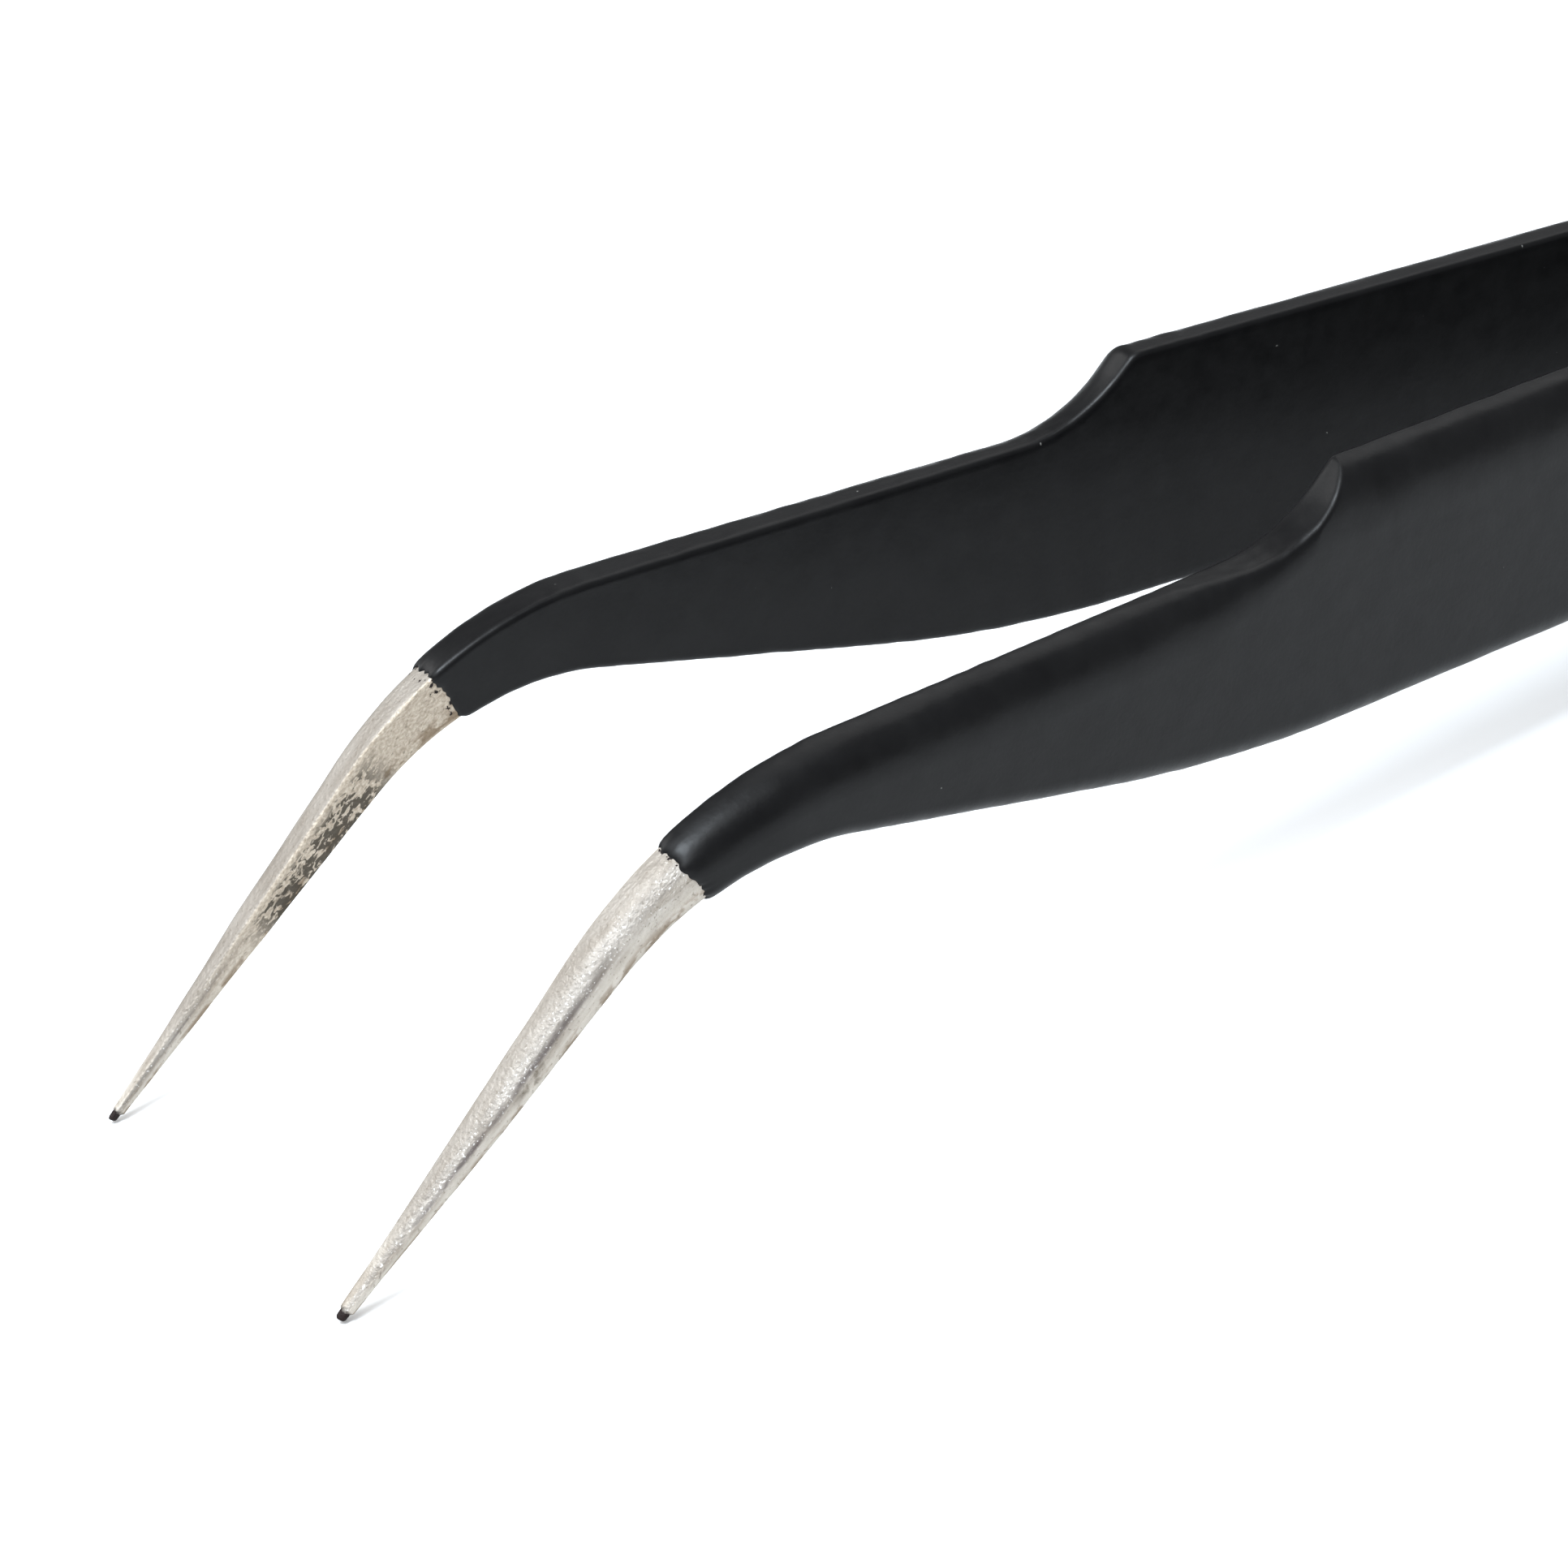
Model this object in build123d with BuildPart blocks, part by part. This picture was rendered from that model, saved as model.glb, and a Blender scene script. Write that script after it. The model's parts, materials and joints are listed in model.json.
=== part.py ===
"""Curved fine-point tweezers: two sprung steel arms, spot welded at the heel and coated in black epoxy.

Every outline is drawn in the tweezers' own axes: x runs from the tips to the heel along the straight handle,
y runs across the two arms, and z runs up from the tips. The two work planes at the end of the dimensions lean
those axes over, so that the finished tweezers stand on both tips and on the lower corner of the heel.
"""

import math
import os

from build123d import *

# Overall sizes, in millimetres and degrees
LENGTH = 118.0
HANDLE_BOTTOM = 8.2  # height of the handle's lower edge above the tips
HANDLE_TOP = 17.8
STEEL = 1.5  # thickness of the strip along the handle
COAT = 0.15  # thickness of the epoxy
STEEL_ROUND = 0.45  # rounding along the outer edges of the steel
COAT_ROUND = 0.6  # the same on the coat
HEEL_ROUND = 2.5

# Side view: corners of the strip's outline (x, z) and the radius that rounds each one
TIP_HEIGHT = 0.26
TIP_ROUND = 0.02
TIP_LEAN = 44.5  # slope of the point's middle line
BEND_TOP = (13.75, 14.62)
BEND_TOP_ROUND = 14.5
BEND_BOTTOM = (15.2, 12.9)
BEND_BOTTOM_ROUND = 11.2
BELLY = (37.2, 8.1)
BELLY_ROUND = 57.0
SCOOP_FOOT = (40.4, 15.3)
SCOOP_ROUND = 6.8
CREST = (42.95, HANDLE_TOP)
CREST_ROUND = 0.3

# Plan view: corners of the inner face (x, y) with its rounding, and how the strip's thickness grows from the tip
TIP_SPREAD = 7.31  # from the mid plane to the inner face of a tip
KNEE = (18.0, 6.96)  # the strip has its full thickness from here to the heel
KNEE_ROUND = 60.0
WAIST = (84.0, 3.3)
WAIST_ROUND = 150.0
CROTCH = 106.0  # the arms lie against each other from here to the heel
CROTCH_ROUND = 40.0
TIP_THICKNESS = 0.36
TAPER_END = (6.0, 0.95)  # x and thickness where the fine point ends and the taper slows
TAPER_ROUND = 8.0
POINT_STATIONS = (0.1, 2.5, 5.0, 8.0, 11.0)  # places along the bare point where its section is drawn
POINT_ROUND = 0.3  # rounding of the point's outer corners, as a share of its height

# Coat edge, flexure and welds
COAT_EDGE = (13.6, 12.2)  # middle of the coat's front edge in the side view
COAT_EDGE_LEAN = 35.0
FLEX = 102.5  # where each arm bends as it is squeezed
WELDS = (108.6, 112.1, 115.6)
WELD_Z = (HANDLE_BOTTOM + HANDLE_TOP) / 2  # middle of the handle's width
WELD_RADIUS = 1.3
WELD_DEPTH = 0.6  # how far a nugget reaches into each strip

# Side view: the strip's outline in order, corner by corner, each with its radius
lean_x = math.cos(math.radians(TIP_LEAN)) * TIP_HEIGHT / 2
lean_z = math.sin(math.radians(TIP_LEAN)) * TIP_HEIGHT / 2
TIP_TOP = (-lean_z, lean_x)
TIP_BOTTOM = (lean_z, -lean_x)
HEEL_BOTTOM = (LENGTH, HANDLE_BOTTOM)
HEEL_TOP = (LENGTH, HANDLE_TOP)
SIDE_CORNERS = [TIP_TOP, TIP_BOTTOM, BEND_BOTTOM, BELLY, HEEL_BOTTOM, HEEL_TOP, CREST, SCOOP_FOOT, BEND_TOP]
SIDE_ROUNDS = [
    TIP_ROUND,
    TIP_ROUND,
    BEND_BOTTOM_ROUND,
    BELLY_ROUND,
    HEEL_ROUND,
    HEEL_ROUND,
    CREST_ROUND,
    SCOOP_ROUND,
    BEND_TOP_ROUND,
]


def round_centre(index):
    """Centre of the arc that rounds one corner of the side outline."""
    corner = Vector(*SIDE_CORNERS[index])
    before = (Vector(*SIDE_CORNERS[index - 1]) - corner).normalized()
    after = (Vector(*SIDE_CORNERS[(index + 1) % len(SIDE_CORNERS)]) - corner).normalized()
    half_angle = math.radians(before.get_angle(after)) / 2
    return corner + (before + after).normalized() * SIDE_ROUNDS[index] / math.sin(half_angle)


# Stance: the ground is the line that touches the bare tip and the coated lower corner of the heel
tip_centre = round_centre(SIDE_CORNERS.index(TIP_BOTTOM))
heel_centre = round_centre(SIDE_CORNERS.index(HEEL_BOTTOM))
heel_top_centre = round_centre(SIDE_CORNERS.index(HEEL_TOP))
span = heel_centre - tip_centre
slope = math.atan2(span.Y, span.X) - math.asin((HEEL_ROUND + COAT - TIP_ROUND) / span.length)
ALONG = Vector(math.cos(slope), 0, -math.sin(slope))
UP = Vector(math.sin(slope), 0, math.cos(slope))


def leaned(point):
    """A point of the side view, with the tweezers leaned over to stand on the ground."""
    return ALONG * point.X + UP * point.Y


front = leaned(tip_centre).X - TIP_ROUND
back = leaned(heel_top_centre).X + HEEL_ROUND + COAT
ORIGIN = Vector(-(front + back) / 2, 0, TIP_ROUND - leaned(tip_centre).Z)

side_plane = Plane(origin=ORIGIN, x_dir=ALONG, z_dir=(0, -1, 0))
plan_plane = Plane(origin=ORIGIN, x_dir=ALONG, z_dir=UP)
BEYOND = 40.0  # further than any face of the tweezers is from the work planes


def cross_plane(x, z, lean=0.0):
    """A plane across the strip at a place in the side view, facing the heel."""
    facing = ALONG * math.cos(math.radians(lean)) + UP * math.sin(math.radians(lean))
    return Plane(origin=ORIGIN + leaned(Vector(x, z)), x_dir=(0, 1, 0), z_dir=facing)


def inner_y(x):
    """Distance from the mid plane to a strip's inner face, between the tip and the knee."""
    return TIP_SPREAD + (KNEE[1] - TIP_SPREAD) * x / KNEE[0]


def strip(side, skin):
    """One arm from tip to heel, grown by the skin's thickness: side is -1 for the left arm, 1 for the right."""
    inner = [(0, TIP_SPREAD), KNEE, WAIST, (CROTCH, 0), (LENGTH + BEYOND, 0)]
    inner_rounds = [KNEE_ROUND, WAIST_ROUND, CROTCH_ROUND]
    outer = [
        (0, TIP_SPREAD + TIP_THICKNESS),
        (TAPER_END[0], inner_y(TAPER_END[0]) + TAPER_END[1]),
        (KNEE[0], KNEE[1] + STEEL),
        (WAIST[0], WAIST[1] + STEEL),
        (CROTCH, STEEL),
        (LENGTH + BEYOND, STEEL),
    ]
    outer_rounds = [TAPER_ROUND, KNEE_ROUND, WAIST_ROUND, CROTCH_ROUND]
    with BuildPart() as arm:
        with BuildSketch(side_plane):
            with BuildLine():
                FilletPolyline(*SIDE_CORNERS, radius=SIDE_ROUNDS, close=True)
            make_face()
            if skin:
                offset(amount=skin)
        extrude(amount=BEYOND, both=True)
        with BuildSketch(plan_plane):
            with BuildLine():
                FilletPolyline(*[(x, side * y) for x, y in inner], radius=inner_rounds)
                FilletPolyline(*[(x, side * y) for x, y in outer], radius=outer_rounds)
                Line((0, side * inner[0][1]), (0, side * outer[0][1]))
                Line((LENGTH + BEYOND, 0), (LENGTH + BEYOND, side * STEEL))
            make_face()
            if skin:
                offset(amount=skin, kind=Kind.INTERSECTION)
        extrude(amount=BEYOND, both=True, mode=Mode.INTERSECT)
    return arm.part


coat_edge = cross_plane(*COAT_EDGE, COAT_EDGE_LEAN)
flex_plane = cross_plane(FLEX, HANDLE_BOTTOM)


def outward_faces(solid, side):
    """The faces that look away from the other arm."""
    return solid.faces().filter_by(lambda face: face.normal_at().Y * side > 0.9)


def behind_coat_edge(side, skin, rounding):
    """The stretch of a strip from the coat's front edge to the heel, with rounded outer edges."""
    with BuildPart() as stretch:
        add(strip(side, skin))
        split(bisect_by=coat_edge, keep=Keep.TOP)
        upright = stretch.edges().filter_by(lambda edge: abs((edge % 0.5).dot(UP)) > 0.99)
        front = stretch.faces().filter_by(coat_edge).edges()
        rim = outward_faces(stretch, side).edges()
        fillet([edge for edge in rim if edge not in upright + front], rounding)
    return stretch.part


def point_section(side, plain_strip, plane):
    """Section of the bare point: flat on the inside, with its two outer corners rounded."""
    with BuildSketch(plane) as section:
        cut = plain_strip.intersect(Face.make_rect(BEYOND, BEYOND, plane))[0]
        add(plane.to_local_coords(cut))
        corners = section.vertices().sort_by(Axis.X)
        outer = corners[-2:] if side > 0 else corners[:2]
        height = abs(outer[0].Y - outer[1].Y)
        fillet(outer, POINT_ROUND * height)
    return section.sketch


def whole_strip(side):
    """One whole steel strip: the bare point lofted onto the stretch that the coat covers."""
    plain_strip = strip(side, 0)
    sections = []
    for x in POINT_STATIONS:
        plane = cross_plane(x, x * math.tan(math.radians(TIP_LEAN)), TIP_LEAN)
        sections.append(point_section(side, plain_strip, plane).face())
    with BuildPart() as arm:
        add(behind_coat_edge(side, 0, STEEL_ROUND))
        root_section = arm.faces().filter_by(coat_edge).sort_by(SortBy.AREA)[-1]
        loft(sections=sections + [root_section])
    return arm.part


# Spot welds between the two strips at the heel
weld_centres = [ORIGIN + leaned(Vector(x, WELD_Z)) for x in WELDS]
with BuildPart() as weld_nuggets:
    for centre in weld_centres:
        with BuildSketch(Plane(origin=centre, z_dir=(0, 1, 0))):
            Circle(WELD_RADIUS)
        extrude(amount=WELD_DEPTH, both=True)
weld_nuggets.part.label = "weld_nuggets"

# Each arm is one strip that bends at its flexure: the blade moves and the heel strip stays with the welds
blades = {}
heel_strips = {}
for name, side in (("left", -1), ("right", 1)):
    steel = whole_strip(side)
    with BuildPart() as blade:
        add(steel)
        split(bisect_by=flex_plane, keep=Keep.BOTTOM)
    blade.part.label = f"{name}_arm_blade"
    blades[name] = blade.part
    with BuildPart() as heel_strip:
        add(steel)
        split(bisect_by=flex_plane, keep=Keep.TOP)
        add(weld_nuggets.part, mode=Mode.SUBTRACT)
    heel_strip.part.label = f"{name}_heel_strip"
    heel_strips[name] = heel_strip.part

# The epoxy: a skin over each blade up to its bare point, and one skin around both strips at the heel
coats = {}
for name, side in (("left", -1), ("right", 1)):
    with BuildPart() as arm_coat:
        add(behind_coat_edge(side, COAT, COAT_ROUND))
        split(bisect_by=flex_plane, keep=Keep.BOTTOM)
        add(blades[name], mode=Mode.SUBTRACT)
    arm_coat.part.label = f"{name}_arm_coat"
    coats[name] = arm_coat.part

with BuildPart() as heel_coat:
    for side in (-1, 1):
        add(behind_coat_edge(side, COAT, COAT_ROUND))
    split(bisect_by=flex_plane, keep=Keep.TOP)
    for name in ("left", "right"):
        add(heel_strips[name], mode=Mode.SUBTRACT)
    add(weld_nuggets.part, mode=Mode.SUBTRACT)
heel_coat.part.label = "heel_coat"

os.makedirs("parts", exist_ok=True)
pieces = [weld_nuggets.part, heel_coat.part, *blades.values(), *heel_strips.values(), *coats.values()]
for piece in pieces:
    export_step(piece, f"parts/{piece.label}.step")
    print(piece.label, round(piece.volume, 2), piece.is_valid, len(piece.solids()))

pivot = ORIGIN + leaned(Vector(FLEX, WELD_Z))
print("hinge axis", [round(v, 5) for v in UP], "through", [round(v, 3) for v in pivot])
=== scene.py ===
"""Curved fine-point tweezers, standing on both tips and the heel: two steel strips in black epoxy skins.

Each arm is one strip that bends as it is squeezed, so its steel and its skin are meshes that cross the
flexure. They are drawn in the arm's own axes, in millimetres: x runs from the tips to the heel, y across the
two arms and z up, as in the CAD model. The frame's hinges say where those axes lie in the row frame, which is
in metres.
"""

import json
import math

import bpy
import numpy as np
from mathutils import Matrix, Vector, noise


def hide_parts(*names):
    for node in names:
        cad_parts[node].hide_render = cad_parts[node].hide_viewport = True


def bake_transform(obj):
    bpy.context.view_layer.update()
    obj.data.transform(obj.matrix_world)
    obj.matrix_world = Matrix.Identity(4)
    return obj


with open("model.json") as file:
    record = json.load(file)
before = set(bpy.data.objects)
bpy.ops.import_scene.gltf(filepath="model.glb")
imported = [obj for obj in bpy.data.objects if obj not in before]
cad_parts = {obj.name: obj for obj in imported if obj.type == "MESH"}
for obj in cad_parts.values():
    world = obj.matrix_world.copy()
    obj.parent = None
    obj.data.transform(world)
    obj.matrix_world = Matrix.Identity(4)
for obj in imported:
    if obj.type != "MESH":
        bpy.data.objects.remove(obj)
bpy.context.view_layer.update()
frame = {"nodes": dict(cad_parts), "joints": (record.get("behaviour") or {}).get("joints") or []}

MM = 0.001

# ---------------------------------------------------------------- dimensions of a strip, in millimetres
LENGTH = 118.0
HANDLE_BOTTOM = 8.2
HANDLE_TOP = 17.8
HANDLE_MIDDLE = (HANDLE_BOTTOM + HANDLE_TOP) / 2
STEEL = 1.5
COAT = 0.15
FLEX = 102.5  # distance from the tips to the hinge that stands for the bending strip
HINGE_SPREAD = 0.373  # from the mid plane to that hinge

# Side view, as corners (x, z) with the radius that rounds each of them
TOP_START = [(-0.18, 0.18)]
TOP_END = [(LENGTH, HANDLE_TOP), (LENGTH, HANDLE_MIDDLE)]
BOTTOM_EDGE = [(0.07, -0.06), (15.0, 12.78), (37.2, 8.15), (LENGTH, HANDLE_BOTTOM + 0.02)]
BOTTOM_ROUNDS = [10.9, 54.0, 2.5]
SPINE = [(0, 0), (14.55, 13.8), (36.5, 11.9), (70, HANDLE_MIDDLE), (LENGTH, HANDLE_MIDDLE)]
SPINE_ROUNDS = [12.0, 40.0, 40.0]

# Plan view, as corners (x, y) of the inner face, and the strip's thickness along x
INNER_FACE = [(-1, 7.33), (18, 6.96), (84, 3.3), (106, 0), (LENGTH + 1, 0)]
INNER_ROUNDS = [60.0, 150.0, 40.0]

# What differs between the two hand-ground arms: the corners of the top edge in side view and their radii, the
# rounding of the handle's outer top edge across and down, where the coat starts and how far its spatter goes.
# The tables run against distance along the spine: the thickness of the steel, how far its outer top corner is
# rounded across the strip and down its outer face, how far above the top that rounding is set, which leaves a
# ridge, and the radius of the inner top corner.
ARMS = {
    "left": {
        "side": -1,
        "top_edge": [(2.2, 2.61), (13.75, 14.68), (40.3, 15.4), (42.95, HANDLE_TOP)],
        "top_rounds": [20.0, 15.4, 6.8, 0.3, 2.5],
        "thickness": [(0, 0.44), (8, 1.02), (22, STEEL)],
        "across": [(0, 0.4), (8, 0.95), (14, 1.2), (20, 1.42), (37, 1.3), (40, 1.0), (44, 0.5), (48, 0.2)],
        "down": [
            (0, 0.28), (8, 0.5), (14, 0.62), (17.5, 0.8), (20, 1.3), (26, 1.6), (30, 1.9), (40, 1.9),
            (44, 1.1), (48, 0.5),
        ],
        "lift": [(40, 0), (44, 0.14), (48, 0.2)],
        "inner": [(0, 0.1), (16, 0.1), (22, 0.06)],
        "dome": (1.44, 2.4),
        "coat_start": 18.28,
        "spatter": 0.2,
        "seed": 3.0,
    },
    "right": {
        "side": 1,
        "top_edge": [(2.1, 2.45), (9.0, 9.6), (13.85, 14.76), (40.4, 15.34), (43.0, HANDLE_TOP)],
        "top_rounds": [20.0, 60.0, 14.5, 6.8, 0.9, 2.5],
        "thickness": [(0, 0.34), (8, 1.02), (22, STEEL)],
        "across": [
            (0, 0.15), (6, 0.38), (12, 0.45), (20, 0.42), (26, 0.45), (34, 0.75), (42, 1.1), (47, 1.1),
            (52, 0.3),
        ],
        "down": [
            (0, 0.15), (6, 0.39), (12, 0.49), (18, 0.52), (26, 0.77), (34, 1.0), (42, 1.15), (47, 1.15),
            (52, 0.5),
        ],
        "lift": [(0, 0)],
        "inner": [(0, 0.12), (6, 0.14), (17, 0.14), (20, 0.06)],
        "dome": (0.92, 1.4),
        "coat_start": 18.62,
        "spatter": 0.75,
        "seed": 11.0,
    },
}

# ---------------------------------------------------------------- the arm's axes in the row frame
hinges = {joint["child"]: joint for joint in frame["joints"]}
UP = Vector(hinges["right_arm"]["axis"]).normalized()
ALONG = Vector((UP.z, 0, -UP.x))
ACROSS = Vector((0, 1, 0))
hinge = Vector(hinges["right_arm"]["pos_m"])
ORIGIN = hinge - (ALONG * FLEX + ACROSS * HINGE_SPREAD + UP * HANDLE_MIDDLE) * MM
AXES = np.array([ALONG, ACROSS, UP])


def to_row(points):
    """Arm coordinates in millimetres to the row frame in metres, for an array of points."""
    return np.asarray(points) @ AXES * MM + np.array(ORIGIN)


# ---------------------------------------------------------------- outlines
PATH_STEP = 0.05  # spacing of the points along an outline
BEHIND_SPINE = -0.5  # how far behind the spine an outline still counts as lying on the side looked at


def rounded(corners, radii, step=PATH_STEP):
    """An open path of straight runs joined by tangent arcs, as points about one step apart."""
    corners = [Vector(c) for c in corners]
    path = [corners[0]]
    for before, corner, after, radius in zip(corners, corners[1:], corners[2:], radii):
        back = (before - corner).normalized()
        ahead = (after - corner).normalized()
        half_turn = (math.pi - back.angle(ahead)) / 2
        reach = radius * math.tan(half_turn)
        middle = corner + (back + ahead).normalized() * radius / math.cos(half_turn)
        start = corner + back * reach - middle
        end = corner + ahead * reach - middle
        turn = start.angle_signed(end)
        count = max(4, math.ceil(abs(turn) * radius / step))
        path += [middle + Matrix.Rotation(-turn * i / count, 2) @ start for i in range(count + 1)]
    path.append(corners[-1])
    points = [path[0]]
    for point in path[1:]:
        first = points[-1]
        count = max(1, math.ceil((point - first).length / step))
        points += [first + (point - first) * (i + 1) / count for i in range(count)]
    return np.array(points)


def nearest_crossing(path, place, tangent, normal, side):
    """How far the path lies from a place on the spine, measured square to the spine, on one side of it."""
    offset = path - place
    u = offset @ tangent
    v = offset @ normal * side
    crosses = np.nonzero((u[:-1] <= 0) != (u[1:] <= 0))[0]
    share = u[crosses] / (u[crosses] - u[crosses + 1])
    found = v[crosses] + share * (v[crosses + 1] - v[crosses])
    found = found[found > BEHIND_SPINE]
    return found.min() if len(found) else 0.0


def interpolate(x, table):
    """Straight-line value of a table of (x, value) pairs."""
    return np.interp(x, [row[0] for row in table], [row[1] for row in table])


def points_along(path, run, distances):
    """Points of a plane path at distances along it, where run is each of its own points' distance."""
    return np.column_stack([np.interp(distances, run, path[:, k]) for k in (0, 1)])


bottom_edge = rounded(BOTTOM_EDGE + [(LENGTH, HANDLE_MIDDLE)], BOTTOM_ROUNDS)
spine = rounded(SPINE, SPINE_ROUNDS)
inner_face = rounded(INNER_FACE, INNER_ROUNDS)
spine_runs = np.linalg.norm(np.diff(spine, axis=0), axis=1)
spine_length = np.concatenate([[0], np.cumsum(spine_runs)])

# ---------------------------------------------------------------- section of a strip
# Spacing of the sections against distance along the spine
STATION_STEPS = [(0, 0.03), (0.44, 0.04), (0.6, 0.12), (24, 0.12), (30, 0.25), (40, 0.25)]
STATION_STEPS += [(43, 0.06), (50, 0.06), (54, 0.8), (100, 0.8), (118, 0.6), (122, 0.08), (130, 0.08)]
SPINE_LOOK = 0.4  # how far ahead and behind a place the spine's direction is taken
END_ROUND = 0.35  # rounding of the outer edge round the heel's end

TIP_DOT = 0.34  # length of the narrower, blackened end of a point
TIP_STEP = 0.08  # length over which the point narrows to it
TIP_SIZE = 0.74  # size of that end, as a share of the full section
TIP_BALL = 0.14  # length of the rounding at the very end of it
TIP_FLAT = 0.25  # size of the flat left in the middle of that rounding, as a share
TIP_RISE = 0.15  # how far the end is set towards the top edge, as a share of the height above the spine

# Roundings of the section's outer bottom corner against distance along the spine, as for the top corner
BOTTOM_ACROSS = [(0, 0.12), (6, 0.3), (12, 0.37), (20, 0.45), (26, 0.45), (34, 0.65), (42, 0.95)]
BOTTOM_DOWN = [(0, 0.12), (6, 0.25), (12, 0.35), (20, 0.42), (26, 0.45), (34, 0.65), (42, 0.9)]
INNER_BOTTOM = 0.07  # radius of the inner bottom corner
SOFTNESS = 0.07  # spread that softens the ridge where the scoop cuts the dome
RIDGE = 0.22  # half the width of the ridge

# The most of the section's width and height that each rounding may take
INNER_LIMIT = (0.25, 0.2)
TOP_LIMIT = (0.97, 0.62)
BOTTOM_LIMIT = (0.8, 0.35)
DOME_LIMIT = 0.94  # of the width only
FOOT_LIMIT = 0.35  # lowest height to which the rounding of the top comes down, as a share
SOFTNESS_LIMIT = 0.1  # of the length of the top and its rounding
RIDGE_LIMIT = 0.3  # of the flat before it, and of the rounding after it

# Points with which the top is drawn, softened and then resampled
ARC_COUNT = 90
FLAT_COUNT = 40
EVEN_COUNT = 260
EVEN_BEYOND = 60  # points by which the even ones run on past each end
BLUR_REACH = 40  # points to each side that are averaged
SLOPE_STEP = 0.01  # half the distance over which a normal's slope is taken

INNER_POINTS = 4
FLAT_STOPS = np.linspace(0, 1, 6)[:-1]
RIDGE_STOPS = np.linspace(0, 1, 10)[:-1]
DOME_STOPS = np.linspace(0, 1, 16)
FACE_STOPS = np.linspace(0.03, 0.97, 14)  # where the flat faces have points, as shares of their width
EDGE_STOPS = (0.25, 0.75)
BOTTOM_POINTS = 12


def stations():
    """Distances along the spine at which a strip's section is drawn, closer together where it changes."""
    places = [0.0]
    last = spine_length[-1] - 0.01
    while places[-1] < last:
        places.append(min(last, places[-1] + interpolate(places[-1], STATION_STEPS)))
    return np.array(places)


def spine_at(distance):
    """Place, direction and upward normal of the spine at a distance from the tip."""
    nearby = distance + np.array([0, SPINE_LOOK, -SPINE_LOOK])
    place, ahead, behind = points_along(spine, spine_length, nearby)
    tangent = (ahead - behind) / np.linalg.norm(ahead - behind)
    return place, tangent, np.array([-tangent[1], tangent[0]])


def quarter(centre, start, end, count):
    """A quarter of an ellipse about a centre, from one half-axis to the other, with its outward normals."""
    angles = np.linspace(0, math.pi / 2, count)
    points = centre + np.outer(np.cos(angles), start) + np.outer(np.sin(angles), end)
    normals = np.outer(np.cos(angles), start) / (start @ start) + np.outer(np.sin(angles), end) / (end @ end)
    return points, normals / np.linalg.norm(normals, axis=1)[:, None]


def ellipse_edge(height, top, across, down, outer):
    """How far out a rounded corner reaches at each height, for a quarter ellipse that starts at the top."""
    share = np.clip((height - (top - down)) / down, 0, 1)
    return outer - across + across * np.sqrt(1 - share**2)


def outer_top(inner, outer, high, low, corner_size, dome_top, dome):
    """The section's top and the rounded start of its outer face, with outward normals."""
    across, down, lift = corner_size
    dome_across, dome_down = dome
    dome_foot = dome_top - dome_down
    foot = min(high + lift - down, max(low + FOOT_LIMIT * (high - low), dome_foot))
    fall = high - (high - foot) * (1 - np.cos(np.linspace(0, math.pi / 2, ARC_COUNT)))
    reach = ellipse_edge(fall, high + lift, across, down, outer)
    if dome_foot < high:
        reach = np.minimum(reach, ellipse_edge(fall, dome_top, dome_across, dome_down, outer))
    flat = np.linspace(inner, reach[0], FLAT_COUNT)[:-1]
    path = np.column_stack([np.concatenate([flat, reach]), np.concatenate([np.full(len(flat), high), fall])])
    run = np.concatenate([[0], np.cumsum(np.linalg.norm(np.diff(path, axis=0), axis=1))])
    size = run[-1]

    even = np.arange(-EVEN_BEYOND, EVEN_COUNT + EVEN_BEYOND) * size / EVEN_COUNT
    smooth = points_along(path, run, even)
    smooth[even < 0, 0] = inner + even[even < 0]
    smooth[even > size, 1] = foot - (even[even > size] - size)
    spread = min(SOFTNESS, SOFTNESS_LIMIT * size) / (size / EVEN_COUNT)
    weights = np.exp(-0.5 * (np.arange(-BLUR_REACH, BLUR_REACH + 1) / spread) ** 2)
    weights /= weights.sum()
    blurred = np.column_stack([np.convolve(smooth[:, k], weights, mode="same") for k in (0, 1)])

    middle = reach[0] - inner
    ridge = min(RIDGE, RIDGE_LIMIT * middle, RIDGE_LIMIT * (size - middle))
    stops = np.concatenate([
        FLAT_STOPS * (middle - ridge),
        middle - ridge + RIDGE_STOPS * 2 * ridge,
        middle + ridge + DOME_STOPS * (size - middle - ridge),
    ])
    points = points_along(blurred, even, stops)
    along = points_along(blurred, even, stops + SLOPE_STEP) - points_along(blurred, even, stops - SLOPE_STEP)
    normals = np.column_stack([-along[:, 1], along[:, 0]])
    return points, normals / np.linalg.norm(normals, axis=1)[:, None]


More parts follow.
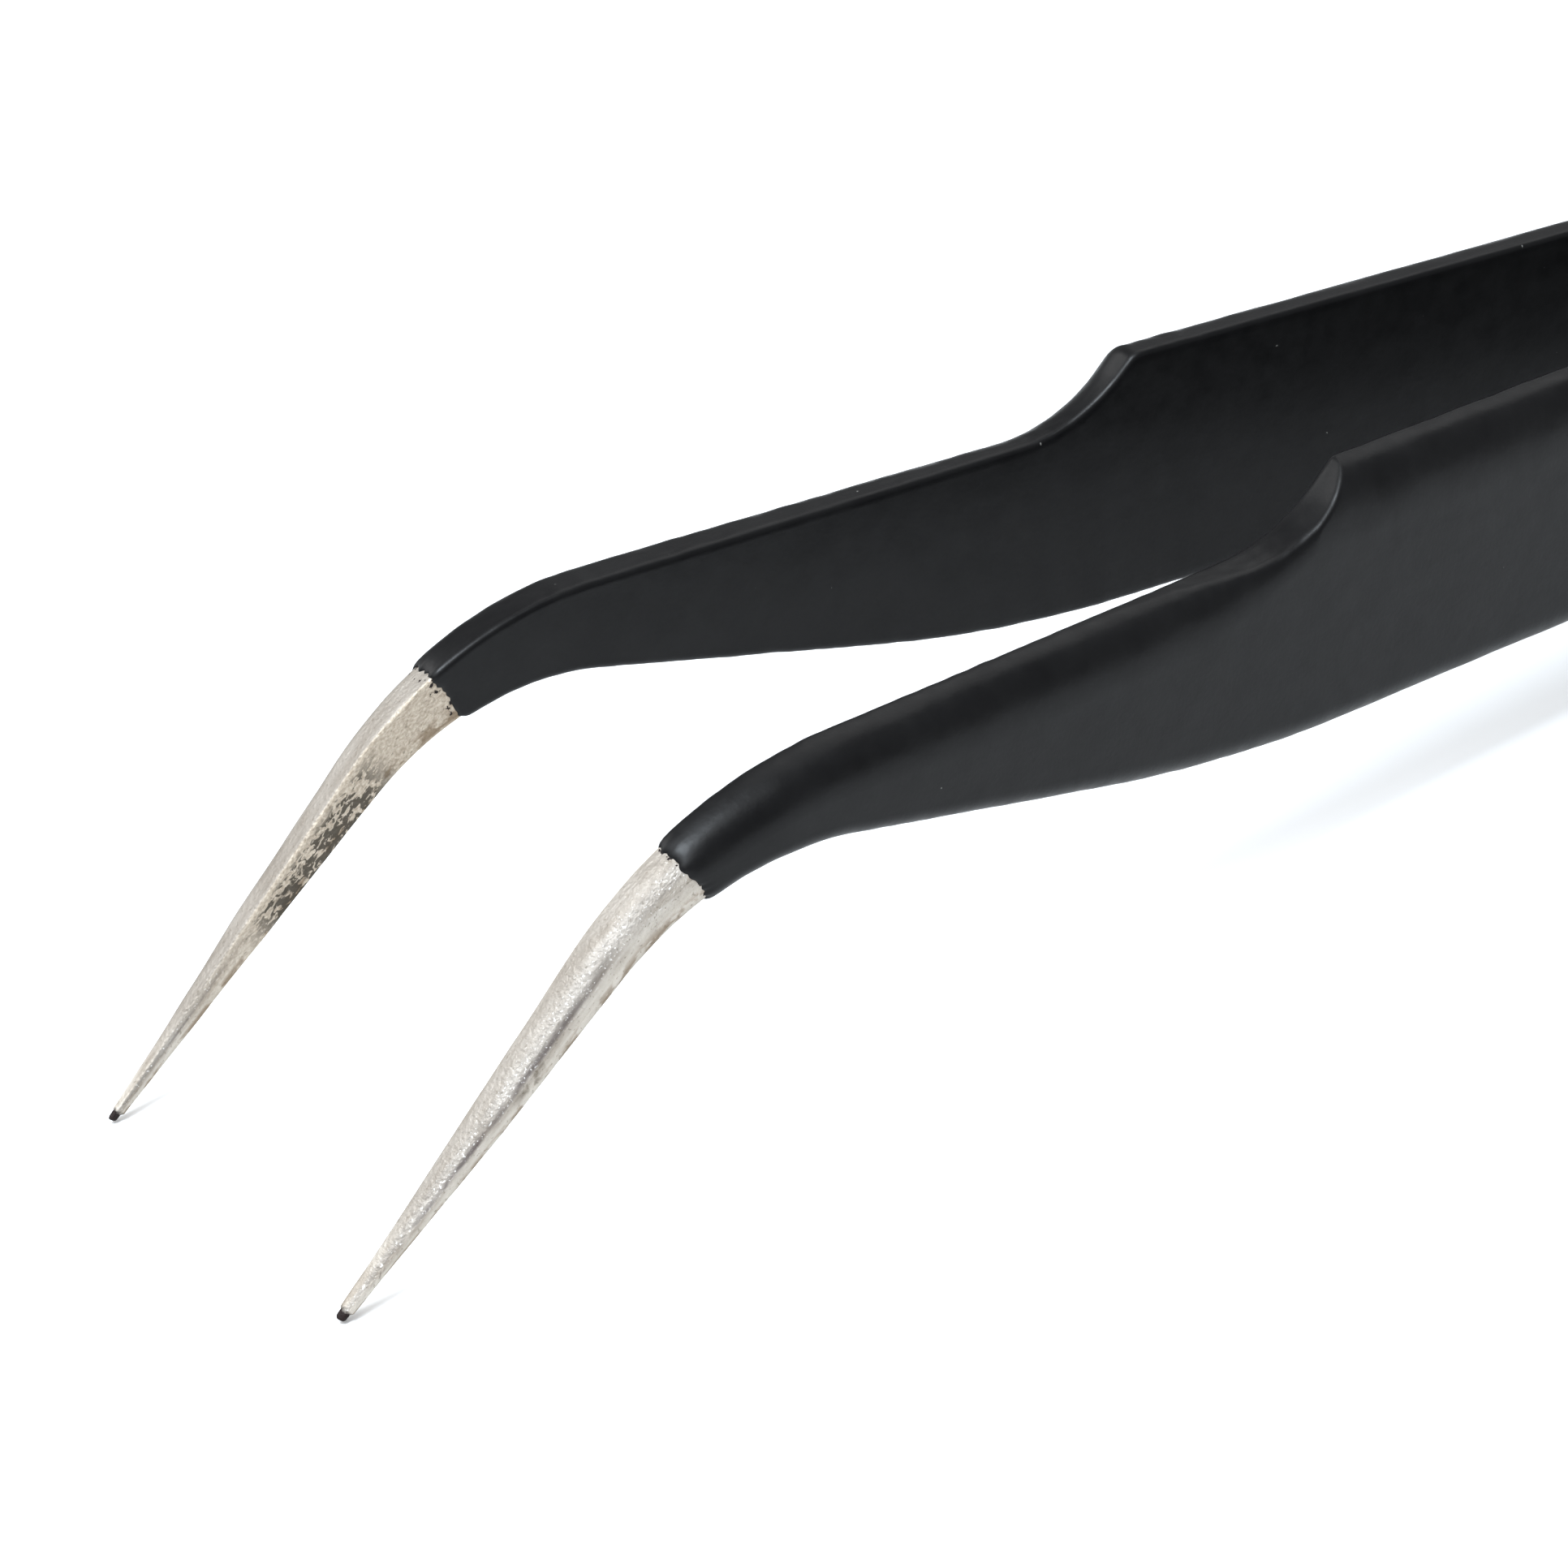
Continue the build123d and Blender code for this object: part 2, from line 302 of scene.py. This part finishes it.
def section(arm, distance, low, high, inner, outer, dome_top):
    """Closed outline (y, v) of a strip's section with outward normals, flat inside and rounded outside."""
    wide = outer - inner
    tall = high - low
    small = min(interpolate(distance, arm["inner"]), INNER_LIMIT[0] * wide, INNER_LIMIT[1] * tall)
    crisp = min(small, INNER_BOTTOM)
    across = min(interpolate(distance, arm["across"]), TOP_LIMIT[0] * wide - small)
    down = min(interpolate(distance, arm["down"]), TOP_LIMIT[1] * tall)
    lift = interpolate(distance, arm["lift"])
    bottom_across = min(interpolate(distance, BOTTOM_ACROSS), BOTTOM_LIMIT[0] * wide)
    bottom_down = min(interpolate(distance, BOTTOM_DOWN), BOTTOM_LIMIT[1] * tall)
    dome = (min(arm["dome"][0], DOME_LIMIT * wide), arm["dome"][1])
    x, y = np.array([1.0, 0.0]), np.array([0.0, 1.0])
    top = outer_top(inner + small, outer, high, low, (across, down, lift), dome_top, dome)
    bottom_middle = (outer - bottom_across, low + bottom_down)
    parts = [
        quarter((inner + crisp, low + crisp), -crisp * y, -crisp * x, INNER_POINTS),
        quarter((inner + small, high - small), -small * x, small * y, INNER_POINTS),
        (top[0][1:], top[1][1:]),
        quarter(bottom_middle, bottom_across * x, -bottom_down * y, BOTTOM_POINTS),
    ]
    gaps = [FACE_STOPS, (), FACE_STOPS, EDGE_STOPS]
    points, normals = [], []
    for i, (part, facing) in enumerate(parts):
        following, following_facing = parts[(i + 1) % 4]
        points += list(part) + [part[-1] + (following[0] - part[-1]) * stop for stop in gaps[i]]
        normals += list(facing) + [facing[-1] * (1 - stop) + following_facing[0] * stop for stop in gaps[i]]
    normals = np.array(normals)
    return np.array(points), normals / np.linalg.norm(normals, axis=1)[:, None]


def strip_rings(arm):
    """Rings of a strip on the +y side, one for each station: places, outward normals and the section's marks.

    The marks are each point's share of the strip's height, its share of the thickness and its height in
    millimetres above the spine.
    """
    top_edge = rounded(TOP_START + arm["top_edge"] + TOP_END, arm["top_rounds"])
    places, facings, marks = [], [], []
    for distance in strip_stations:
        place, tangent, normal = spine_at(distance)
        high = nearest_crossing(top_edge, place, tangent, normal, 1)
        low = -nearest_crossing(bottom_edge, place, tangent, normal, -1)
        inner = np.interp(place[0], inner_face[:, 0], inner_face[:, 1])
        thick = interpolate(distance, arm["thickness"])
        to_end = LENGTH - place[0]
        if to_end < END_ROUND:
            thick -= END_ROUND - math.sqrt(END_ROUND**2 - (END_ROUND - to_end) ** 2)
        dome_top = (HANDLE_TOP - place[1]) / normal[1]
        outline, facing = section(arm, distance, low, high, inner, inner + thick, max(high, dome_top))
        if distance < TIP_DOT + TIP_STEP:
            middle = outline.mean(axis=0) + np.array([0, TIP_RISE * high])
            size = np.interp(distance, [TIP_DOT, TIP_DOT + TIP_STEP], [TIP_SIZE, 1.0])
            if distance < TIP_BALL:
                size *= TIP_FLAT + (1 - TIP_FLAT) * math.sqrt(1 - (1 - distance / TIP_BALL) ** 2)
            outline = middle + (outline - middle) * size
        places.append(np.column_stack([
            place[0] + outline[:, 1] * normal[0], outline[:, 0], place[1] + outline[:, 1] * normal[1]
        ]))
        facings.append(np.column_stack([facing[:, 1] * normal[0], facing[:, 0], facing[:, 1] * normal[1]]))
        share = (outline[:, 1] - low) / (high - low)
        marks.append(np.column_stack([share, (outline[:, 0] - inner) / thick, outline[:, 1]]))
    return np.array(places), np.array(facings), np.array(marks)


strip_stations = stations()


def on_strip(strip, distances, grow):
    """One point for each place round the ring, at its own distance along the strip, grown outward by grow."""
    index = np.clip(np.searchsorted(strip_stations, distances) - 1, 0, len(strip_stations) - 2)
    share = (distances - strip_stations[index]) / (strip_stations[index + 1] - strip_stations[index])
    share = np.clip(share, 0, 1)[:, None]
    column = np.arange(len(distances))
    place, facing, marks = (
        part[index, column] * (1 - share) + part[index + 1, column] * share for part in strip
    )
    return place + facing * grow, marks


PATTERN_APART = 40  # shift across that gives the two arms different patterns


def mesh_piece(name, rows, side, material):
    """A closed mesh through rows of ring points, each row (points, distances, marks, margins).

    A margin is how far a point lies past the coat's front edge: in millimetres on a skin, and in reaches of
    that arm's spatter on the steel.
    """
    places, distances, marks, margins = (np.concatenate([row[k] for row in rows]) for k in range(4))
    around = len(rows[0][0])
    points = places * np.array([1, side, 1])
    faces = []
    for i in range(len(rows) - 1):
        for j in range(around):
            k = (j + 1) % around
            faces.append((i * around + j, i * around + k, (i + 1) * around + k, (i + 1) * around + j))
    faces.append(tuple(reversed(range(around))))
    faces.append(tuple(range((len(rows) - 1) * around, len(rows) * around)))
    if side < 0:
        faces = [face[::-1] for face in faces]
    mesh = bpy.data.meshes.new(name)
    mesh.from_pydata([tuple(p) for p in to_row(points)], [], faces)
    mesh.polygons.foreach_set("use_smooth", [True] * (len(faces) - 2) + [False, False])
    stored = {"along": distances, "height": marks[:, 0], "inside": marks[:, 1], "margin": margins}
    for key, values in stored.items():
        mesh.attributes.new(key, "FLOAT", "POINT").data.foreach_set("value", values.astype(np.float32))
    across = places[:, 1] + (PATTERN_APART if side > 0 else 0)
    pattern = np.column_stack([distances, across, marks[:, 2]]).astype(np.float32)
    mesh.attributes.new("pattern", "FLOAT_VECTOR", "POINT").data.foreach_set("vector", pattern.ravel())
    mesh.materials.append(material)
    mesh.update()
    piece = bpy.data.objects.new(name, mesh)
    bpy.context.scene.collection.objects.link(piece)
    return piece


# ---------------------------------------------------------------- materials
def new_material(name):
    """An empty node material with its output and Principled shader."""
    material = bpy.data.materials.new(name)
    material.use_nodes = True
    tree = material.node_tree
    tree.nodes.clear()
    output = tree.nodes.new("ShaderNodeOutputMaterial")
    shader = tree.nodes.new("ShaderNodeBsdfPrincipled")
    tree.links.new(shader.outputs["BSDF"], output.inputs["Surface"])
    return material, tree, shader


def add_node(tree, kind, values=None, links=None, **settings):
    """A shader node with its settings, its socket values and what its sockets are linked from."""
    made = tree.nodes.new(kind)
    for key, value in settings.items():
        setattr(made, key, value)
    for key, value in (values or {}).items():
        made.inputs[key].default_value = value
    for key, source in (links or {}).items():
        tree.links.new(source, made.inputs[key])
    return made


def attribute(tree, name, output="Fac"):
    """A value that the mesh stores at each point."""
    return add_node(tree, "ShaderNodeAttribute", attribute_name=name).outputs[output]


def noise_at(tree, vector, scale, detail=3.0, stretch=(1, 1, 1), twist=0.0):
    """Noise with a number of features to the millimetre, stretched along the arm's axes and twisted."""
    scaled = add_node(
        tree, "ShaderNodeVectorMath", values={1: stretch}, links={0: vector}, operation="MULTIPLY"
    ).outputs["Vector"]
    values = {"Scale": scale, "Detail": detail, "Distortion": twist}
    made = add_node(tree, "ShaderNodeTexNoise", values=values, links={"Vector": scaled})
    return made.outputs["Fac"]


def ramp(tree, source, stops):
    """A colour ramp through (position, colour) stops, where a number stands for a grey."""
    made = add_node(tree, "ShaderNodeValToRGB", links={"Fac": source})
    elements = made.color_ramp.elements
    while len(elements) < len(stops):
        elements.new(1.0)
    for element, (position, colour) in zip(elements, stops):
        element.position = position
        element.color = (colour, colour, colour, 1.0) if isinstance(colour, float) else (*colour, 1.0)
    return made.outputs["Color"]


def span(tree, source, low, high):
    """How far a value has risen from low to high, from 0 to 1; it falls instead where low is above high."""
    made = add_node(
        tree, "ShaderNodeMapRange", values={"From Min": low, "From Max": high}, links={"Value": source}
    )
    return made.outputs["Result"]


def combine(tree, operation, first, second):
    """The result of a Math node on two sockets or numbers."""
    made = add_node(tree, "ShaderNodeMath", operation=operation)
    for i, source in enumerate((first, second)):
        if isinstance(source, (int, float)):
            made.inputs[i].default_value = source
        else:
            tree.links.new(source, made.inputs[i])
    return made.outputs["Value"]


def product(tree, *sources):
    """The product of several sockets or numbers."""
    result = sources[0]
    for source in sources[1:]:
        result = combine(tree, "MULTIPLY", result, source)
    return result


def window(tree, source, start, rise, fall, end):
    """A share that rises from start to rise, holds, and falls again from fall to end."""
    return product(tree, span(tree, source, start, rise), span(tree, source, end, fall))


def mix_colour(tree, share, first, second):
    """A mix of two colours, each a socket or a fixed colour."""
    made = add_node(tree, "ShaderNodeMix", links={"Factor": share}, data_type="RGBA")
    for socket, source in zip((made.inputs[6], made.inputs[7]), (first, second)):
        if isinstance(source, tuple):
            socket.default_value = (*source, 1.0)
        else:
            tree.links.new(source, socket)
    return made.outputs[2]


def tinted(tree, colour, share, strength, tint):
    """A colour under a tint that covers it by the given strength where the share is 1."""
    return mix_colour(tree, product(tree, share, strength), colour, tint)


def bump(tree, height, strength, distance, normal=None):
    """A bump from a height, with its distance in millimetres."""
    values = {"Strength": strength, "Distance": distance * MM}
    made = add_node(tree, "ShaderNodeBump", values=values, links={"Height": height})
    if normal is not None:
        tree.links.new(normal, made.inputs["Normal"])
    return made.outputs["Normal"]


def epoxy():
    """Satin black epoxy: nearly even, with a fine orange peel, soft lumps and a few specks of dust."""
    material, tree, shader = new_material("black_epoxy")
    pattern = attribute(tree, "pattern", "Vector")
    tone = noise_at(tree, pattern, 0.5, detail=6.0)
    colour = ramp(tree, tone, [(0.3, (0.0028, 0.0028, 0.0031)), (0.7, (0.0044, 0.0044, 0.0047))])
    specks = ramp(tree, noise_at(tree, pattern, 3.1, detail=2.0), [(0.79, 0.0), (0.82, 0.6)])
    colour = mix_colour(tree, specks, colour, (0.20, 0.20, 0.19))
    tree.links.new(colour, shader.inputs["Base Color"])
    rough = ramp(tree, noise_at(tree, pattern, 1.4, detail=5.0), [(0.3, 0.29), (0.7, 0.41)])
    tree.links.new(rough, shader.inputs["Roughness"])
    shader.inputs["Specular IOR Level"].default_value = 0.145
    peel = bump(tree, noise_at(tree, pattern, 6.0, detail=3.0), 0.35, 0.014)
    lumps = bump(tree, noise_at(tree, pattern, 0.6, detail=2.0), 0.4, 0.05, peel)
    tree.links.new(lumps, shader.inputs["Normal"])
    return material


def ground_faces_and_painted_light(tree, pattern, along, height):
    """Colour of the outer faces: ground streaks, with painted shade on the top band and the rounded shoulder
    below it, a painted floor reflection on the lower part, a broken painted dark reflection line and painted
    sparkle specks.
    """
    streaks = noise_at(tree, pattern, 1.6, detail=8.0, stretch=(0.3, 1.6, 1.6))
    tones = [(0.34, (0.25, 0.217, 0.18)), (0.5, (0.36, 0.327, 0.286)), (0.64, (0.445, 0.412, 0.37))]
    colour = ramp(tree, streaks, tones)
    # Painted shade: the band along the top edge is darkened, for how the light falls on it.
    painted_top_shade = product(tree, span(tree, height, 0.82, 0.96), span(tree, along, 1.0, 4.5))
    colour = tinted(tree, colour, painted_top_shade, 0.68, (0.18, 0.161, 0.14))
    # Painted reflection: the lower part of the face is made paler, for the bright floor it reflects.
    lower = span(tree, height, 0.55, 0.35)
    colour = tinted(tree, colour, lower, 0.5, (0.52, 0.48, 0.425))
    # Painted reflection: a broken dark line along the face where it reflects the dark horizon; no groove is
    # modelled there.
    painted_dark_line = product(
        tree, window(tree, height, 0.56, 0.65, 0.71, 0.81), window(tree, along, 1.5, 4.0, 12.0, 17.0)
    )
    broken = span(tree, noise_at(tree, pattern, 1.2, detail=5.0, stretch=(0.5, 1, 1)), 0.38, 0.56)
    colour = tinted(tree, colour, product(tree, painted_dark_line, broken), 0.8, (0.085, 0.07, 0.07))
    # Painted shade: the rounded top of the face is darkened to tone down its highlight.
    painted_crest_shade = window(tree, height, 0.68, 0.76, 0.88, 0.95)
    colour = tinted(tree, colour, painted_crest_shade, 0.5, (0.20, 0.186, 0.172))
    # Painted highlights: pale specks on the upper part of the face stand in for glints of light.
    grains = span(tree, noise_at(tree, pattern, 11.0, detail=2.0), 0.62, 0.70)
    painted_glints = product(tree, grains, window(tree, height, 0.5, 0.7, 0.86, 0.98))
    return tinted(tree, colour, painted_glints, 0.6, (0.85, 0.84, 0.82))


def beige_face(tree, pattern):
    """Colour of the granular inner face."""
    grains = noise_at(tree, pattern, 11.0, detail=5.0, stretch=(0.6, 1, 1))
    tones = [(0.3, (0.29, 0.242, 0.186)), (0.5, (0.40, 0.345, 0.278)), (0.68, (0.50, 0.437, 0.36))]
    return ramp(tree, grains, tones)


def grime(tree, colour, pattern, along, height):
    """A colour with grit all over it, brown marks by the lower edge and one brown patch on each face."""
    grit = span(tree, noise_at(tree, pattern, 9.0, detail=4.0, stretch=(0.7, 1, 1)), 0.61, 0.69)
    colour = tinted(tree, colour, grit, 0.5, (0.12, 0.10, 0.075))
    rust = span(tree, noise_at(tree, pattern, 2.6, detail=7.0, stretch=(0.4, 1, 1)), 0.47, 0.55)
    brown = product(tree, window(tree, height, 0.0, 0.08, 0.2, 0.36), rust)
    colour = tinted(tree, colour, brown, 0.75, (0.16, 0.11, 0.065))
    patch = product(
        tree,
        window(tree, along, 8.8, 9.6, 10.2, 11.0),
        window(tree, height, 0.2, 0.4, 0.5, 0.68),
        span(tree, noise_at(tree, pattern, 2.5, detail=6.0), 0.42, 0.58),
    )
    return tinted(tree, colour, patch, 0.8, (0.10, 0.08, 0.055))


def stain_share(tree, pattern, along, height, inner_face):
    """Where the mottled stain darkens the inner face, in veins that are denser towards the lower edge."""
    mottle = noise_at(tree, pattern, 6.0, detail=8.0, stretch=(0.5, 1, 1), twist=0.7)
    denser = product(tree, span(tree, height, 0.7, 0.0), 0.10)
    veins = span(tree, combine(tree, "ADD", mottle, denser), 0.50, 0.55)
    reach = product(tree, window(tree, along, 7.4, 9.0, 14.3, 15.8), span(tree, height, 0.95, 0.72))
    return product(tree, veins, reach, inner_face)


def dark_share(tree, pattern, along):
    """Where the steel is black: at the very point and under the coat's spatter."""
    near_coat = span(tree, attribute(tree, "margin"), -1.0, 0.0)
    dots = span(tree, noise_at(tree, pattern, 5.5, detail=2.0), 0.60, 0.64)
    spatter = span(tree, combine(tree, "ADD", near_coat, product(tree, dots, 0.6)), 1.0, 1.05)
    ragged = combine(tree, "ADD", along, product(tree, noise_at(tree, pattern, 6.0), 0.3))
    point = span(tree, ragged, 0.60, 0.46)
    return combine(tree, "MAXIMUM", point, spatter)


def bare_steel():
    """Hand-ground, pickled stainless steel: pale and granular, with streaks, stains, dark points and painted
    light.
    """
    material, tree, shader = new_material("bare_steel")
    pattern = attribute(tree, "pattern", "Vector")
    along = attribute(tree, "along")
    height = attribute(tree, "height")
    inner_face = span(tree, attribute(tree, "inside"), 0.08, 0.02)
    stain = stain_share(tree, pattern, along, height, inner_face)
    dark = dark_share(tree, pattern, along)

    colour = ground_faces_and_painted_light(tree, pattern, along, height)
    beige_share = product(tree, inner_face, span(tree, along, 3.0, 9.0))
    colour = mix_colour(tree, beige_share, colour, beige_face(tree, pattern))
    colour = grime(tree, colour, pattern, along, height)
    colour = tinted(tree, colour, stain, 0.92, (0.04, 0.033, 0.024))
    colour = mix_colour(tree, dark, colour, (0.009, 0.0045, 0.004))
    tree.links.new(colour, shader.inputs["Base Color"])

    dull = combine(tree, "MAXIMUM", product(tree, stain, 0.4), product(tree, dark, 0.6))
    tree.links.new(combine(tree, "SUBTRACT", 0.52, dull), shader.inputs["Metallic"])
    shader.inputs["Specular IOR Level"].default_value = 0.15
    rough = ramp(tree, noise_at(tree, pattern, 4.0, detail=6.0), [(0.3, 0.48), (0.7, 0.64)])
    tree.links.new(rough, shader.inputs["Roughness"])

    grain = bump(tree, noise_at(tree, pattern, 8.0, detail=4.0, stretch=(0.8, 1, 1)), 1.0, 0.06)
    dents = bump(tree, noise_at(tree, pattern, 1.8, detail=3.0, stretch=(0.5, 1, 1)), 0.6, 0.05, grain)
    tree.links.new(dents, shader.inputs["Normal"])
    return material


def weld_steel():
    """The weld nuggets, blued by their heat."""
    material, tree, shader = new_material("weld_steel")
    place = add_node(tree, "ShaderNodeTexCoord").outputs["Object"]
    values = {"Scale": 900.0, "Detail": 4.0}
    tint = add_node(tree, "ShaderNodeTexNoise", values=values, links={"Vector": place})
    colour = ramp(tree, tint.outputs["Fac"], [(0.35, (0.22, 0.23, 0.30)), (0.65, (0.42, 0.36, 0.30))])
    tree.links.new(colour, shader.inputs["Base Color"])
    shader.inputs["Metallic"].default_value = 1.0
    shader.inputs["Roughness"].default_value = 0.5
    return material


EPOXY = epoxy()
BARE_STEEL = bare_steel()
WELD_STEEL = weld_steel()

# ---------------------------------------------------------------- the two strips and their skins
COAT_SLANT = 0.1  # how far the skin's front edge lies forward at the top of the strip, and back at its bottom
RAGGED_ALONG = 0.2  # how much less the skin's edge varies along the strip than round it
RAGGED = (0.13, 1.7)  # depth of the edge's broad raggedness, and its features to the millimetre
RAGGED_FINE = (0.15, 6.0)  # the same for the fine raggedness

# The skin's front lip, as (distance behind its edge, height above the steel)
LIP = [(-0.02, -0.03), (0.0, 0.015), (0.05, 0.055), (0.14, 0.1), (0.3, 0.135), (0.6, COAT), (1.0, COAT)]
LIP_SETTLE = 0.6  # share of the edge's raggedness that is lost in each millimetre behind it
LIP_END = 1.4  # distance behind the coat's start at which the strip's own rings go on

# Unevenness, as a height with the number of features to the millimetre along, across and up
WAVE = (0.02, (0.7, 0.4, 0.4))  # of the hand-ground steel
LUMP = (0.012, (0.7, 2, 0.9))  # of the coat
EDGE_LUMP = (0.022, (1.7, 3, 0.2))  # of the coat along the strip's edges
EDGE_WIDTH = 0.05  # how far those reach from the edges, as a share of the strip's height
WAVE_FROM_COAT = 2  # millimetres over which the steel's unevenness grows from nothing at the coat
WAVE_FROM_TIP = 3  # and at the tip

END_TURNS = np.radians([25, 50, 75, 90])  # how far round its rounded rear end the skin has rings
HEEL_GAP = 0.002  # half the gap left between the two skins' inner sides where they meet


def lumps_at(points, size, scales, seed):
    """Smooth noise of a size at points, with a number of features to the millimetre along each axis."""
    scaled = points * np.array(scales)
    return size * np.array([noise.noise(Vector(p) + Vector((seed, seed, seed))) for p in scaled])


def coat_edge(strip, arm):
    """Distance along the strip of the skin's ragged front edge, at each place round the ring."""
    around = strip[0].shape[1]
    ring, marks = on_strip(strip, np.full(around, arm["coat_start"]), 0.0)
    ring = ring * np.array([RAGGED_ALONG, 1, 1])
    ragged = lumps_at(ring, *RAGGED, arm["seed"])
    fine = lumps_at(ring, *RAGGED_FINE, arm["seed"] + 5)
    return arm["coat_start"] + ragged + fine - COAT_SLANT * (2 * marks[:, 0] - 1)


def steel_rows(strip, arm):
    """The strip's own rings, with the slight unevenness of hand grinding on its bare part."""
    rings, facings, marks = strip
    edge = coat_edge(strip, arm)
    rows = []
    for i, distance in enumerate(strip_stations):
        to_coat = max(0.0, arm["coat_start"] - distance)
        bare = min(1.0, to_coat / WAVE_FROM_COAT) * min(1.0, distance / WAVE_FROM_TIP)
        wave = bare * lumps_at(rings[i], *WAVE, arm["seed"])
        distances = np.full(len(edge), distance)
        margins = (distances - edge) / arm["spatter"]
        rows.append((rings[i] + facings[i] * wave[:, None], distances, marks[i], margins))
    return rows


def coat_rows(strip, arm):
    """The skin's rings: a ragged front lip, then the strip's rings grown by the coat and its slight lumps."""
    rings, facings, marks = strip
    edge = coat_edge(strip, arm)
    rows = []
    for ahead, grow in LIP:
        settle = LIP_SETTLE * max(0.0, ahead)
        distances = edge + ahead + (arm["coat_start"] - edge) * settle
        points, marks_here = on_strip(strip, distances, grow)
        rows.append((points, distances, marks_here, distances - edge))
    for i in np.nonzero(strip_stations > arm["coat_start"] + LIP_END)[0]:
        broad = lumps_at(rings[i], *LUMP, arm["seed"])
        sharp = lumps_at(rings[i], *EDGE_LUMP, arm["seed"] - 4)
        at_edge = np.exp(-np.minimum(marks[i][:, 0], 1 - marks[i][:, 0]) / EDGE_WIDTH)
        grow = COAT + broad + sharp * at_edge
        distances = np.full(len(edge), strip_stations[i])
        rows.append((rings[i] + facings[i] * grow[:, None], distances, marks[i], distances - edge))
    distances, marks_here, margins = rows[-1][1:]
    for turn in END_TURNS:
        ahead = np.array([COAT * math.sin(turn), 0, 0])
        rows.append((rings[-1] + facings[-1] * COAT * math.cos(turn) + ahead, distances, marks_here, margins))
    for row in rows:
        row[0][:, 1] = np.maximum(row[0][:, 1], HEEL_GAP)
    return rows


for name, arm in ARMS.items():
    strip = strip_rings(arm)
    steel = mesh_piece(f"{name}_strip", steel_rows(strip, arm), arm["side"], BARE_STEEL)
    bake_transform(steel)
    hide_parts(f"{name}_arm_blade", f"{name}_heel_strip")
    skin = mesh_piece(f"{name}_skin", coat_rows(strip, arm), arm["side"], EPOXY)
    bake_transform(skin)
    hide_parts(f"{name}_arm_coat", "heel_coat")

nuggets = frame["nodes"]["weld_nuggets"]
nuggets.data.materials.clear()
nuggets.data.materials.append(WELD_STEEL)

# ---------------------------------------------------------------- floor, light and camera
HALF_FLOOR = 1.5  # metres
corners = [(-HALF_FLOOR, -HALF_FLOOR, 0), (HALF_FLOOR, -HALF_FLOOR, 0), (HALF_FLOOR, HALF_FLOOR, 0)]
corners.append((-HALF_FLOOR, HALF_FLOOR, 0))
floor_mesh = bpy.data.meshes.new("floor")
floor_mesh.from_pydata(corners, [], [(0, 1, 2, 3)])
floor = bpy.data.objects.new("floor", floor_mesh)
bpy.context.scene.collection.objects.link(floor)
paper, _, paper_shader = new_material("white_paper")
paper_shader.inputs["Base Color"].default_value = (0.69, 0.69, 0.69, 1)
paper_shader.inputs["Roughness"].default_value = 0.9
paper_shader.inputs["Specular IOR Level"].default_value = 0.1
floor.data.materials.append(paper)

world = bpy.data.worlds.new("studio")
bpy.context.scene.world = world
world.use_nodes = True
world.node_tree.nodes["Background"].inputs["Color"].default_value = (0.98, 0.99, 1, 1)
world.node_tree.nodes["Background"].inputs["Strength"].default_value = 0.38


def soft_box(name, direction, reach, size, radiance, tint=(1, 1, 1)):
    """A square area light, of a size and at a reach in metres, that shines on the object from a direction."""
    light = bpy.data.lights.new(name, "AREA")
    light.shape = "SQUARE"
    light.size = size
    light.energy = radiance * math.pi * size**2
    light.color = tint
    lamp = bpy.data.objects.new(name, light)
    toward = Vector(direction).normalized()
    lamp.location = toward * reach
    lamp.rotation_euler = (-toward).to_track_quat("-Z", "Y").to_euler()
    bpy.context.scene.collection.objects.link(lamp)


soft_box("overhead", (-0.45, -0.2, 0.87), 0.9, 1.1, 2.9, (0.96, 0.98, 1.0))
soft_box("key", (-0.38, -0.16, 0.9), 0.7, 0.28, 28.0, (0.83, 0.92, 1.0))
soft_box("back", (0.5, 0.3, 0.8), 1.1, 0.8, 1.5)
soft_box("side", (-0.5, 0.7, 0.5), 1.1, 0.7, 3.4)

CAMERA_PLACE = (-69.895, -131.408, 97.098)  # in the arm's axes
CAMERA_HEADING = 35.297  # degrees from across towards along
CAMERA_TILT = 28.713  # degrees down
CAMERA_ROLL = 0.732
CAMERA_FOCAL_WIDTHS = 6508.7 / 1932  # focal length in widths of the frame

camera_data = bpy.data.cameras.new("camera")
camera_data.sensor_width = 36.0
camera_data.lens = CAMERA_FOCAL_WIDTHS * camera_data.sensor_width
camera_data.clip_start = 0.01
camera = bpy.data.objects.new("camera", camera_data)
turn = Matrix.Rotation(math.radians(-CAMERA_HEADING), 3, "Z")
tilt = Matrix.Rotation(math.radians(90 - CAMERA_TILT), 3, "X")
roll = Matrix.Rotation(math.radians(-CAMERA_ROLL), 3, "Z")
arm_frame = Matrix((ALONG, ACROSS, UP)).transposed()
camera.matrix_world = Matrix.Translation(to_row(CAMERA_PLACE)) @ (arm_frame @ turn @ tilt @ roll).to_4x4()
bpy.context.scene.collection.objects.link(camera)
bpy.context.scene.camera = camera
bpy.context.scene.view_settings.view_transform = "Standard"
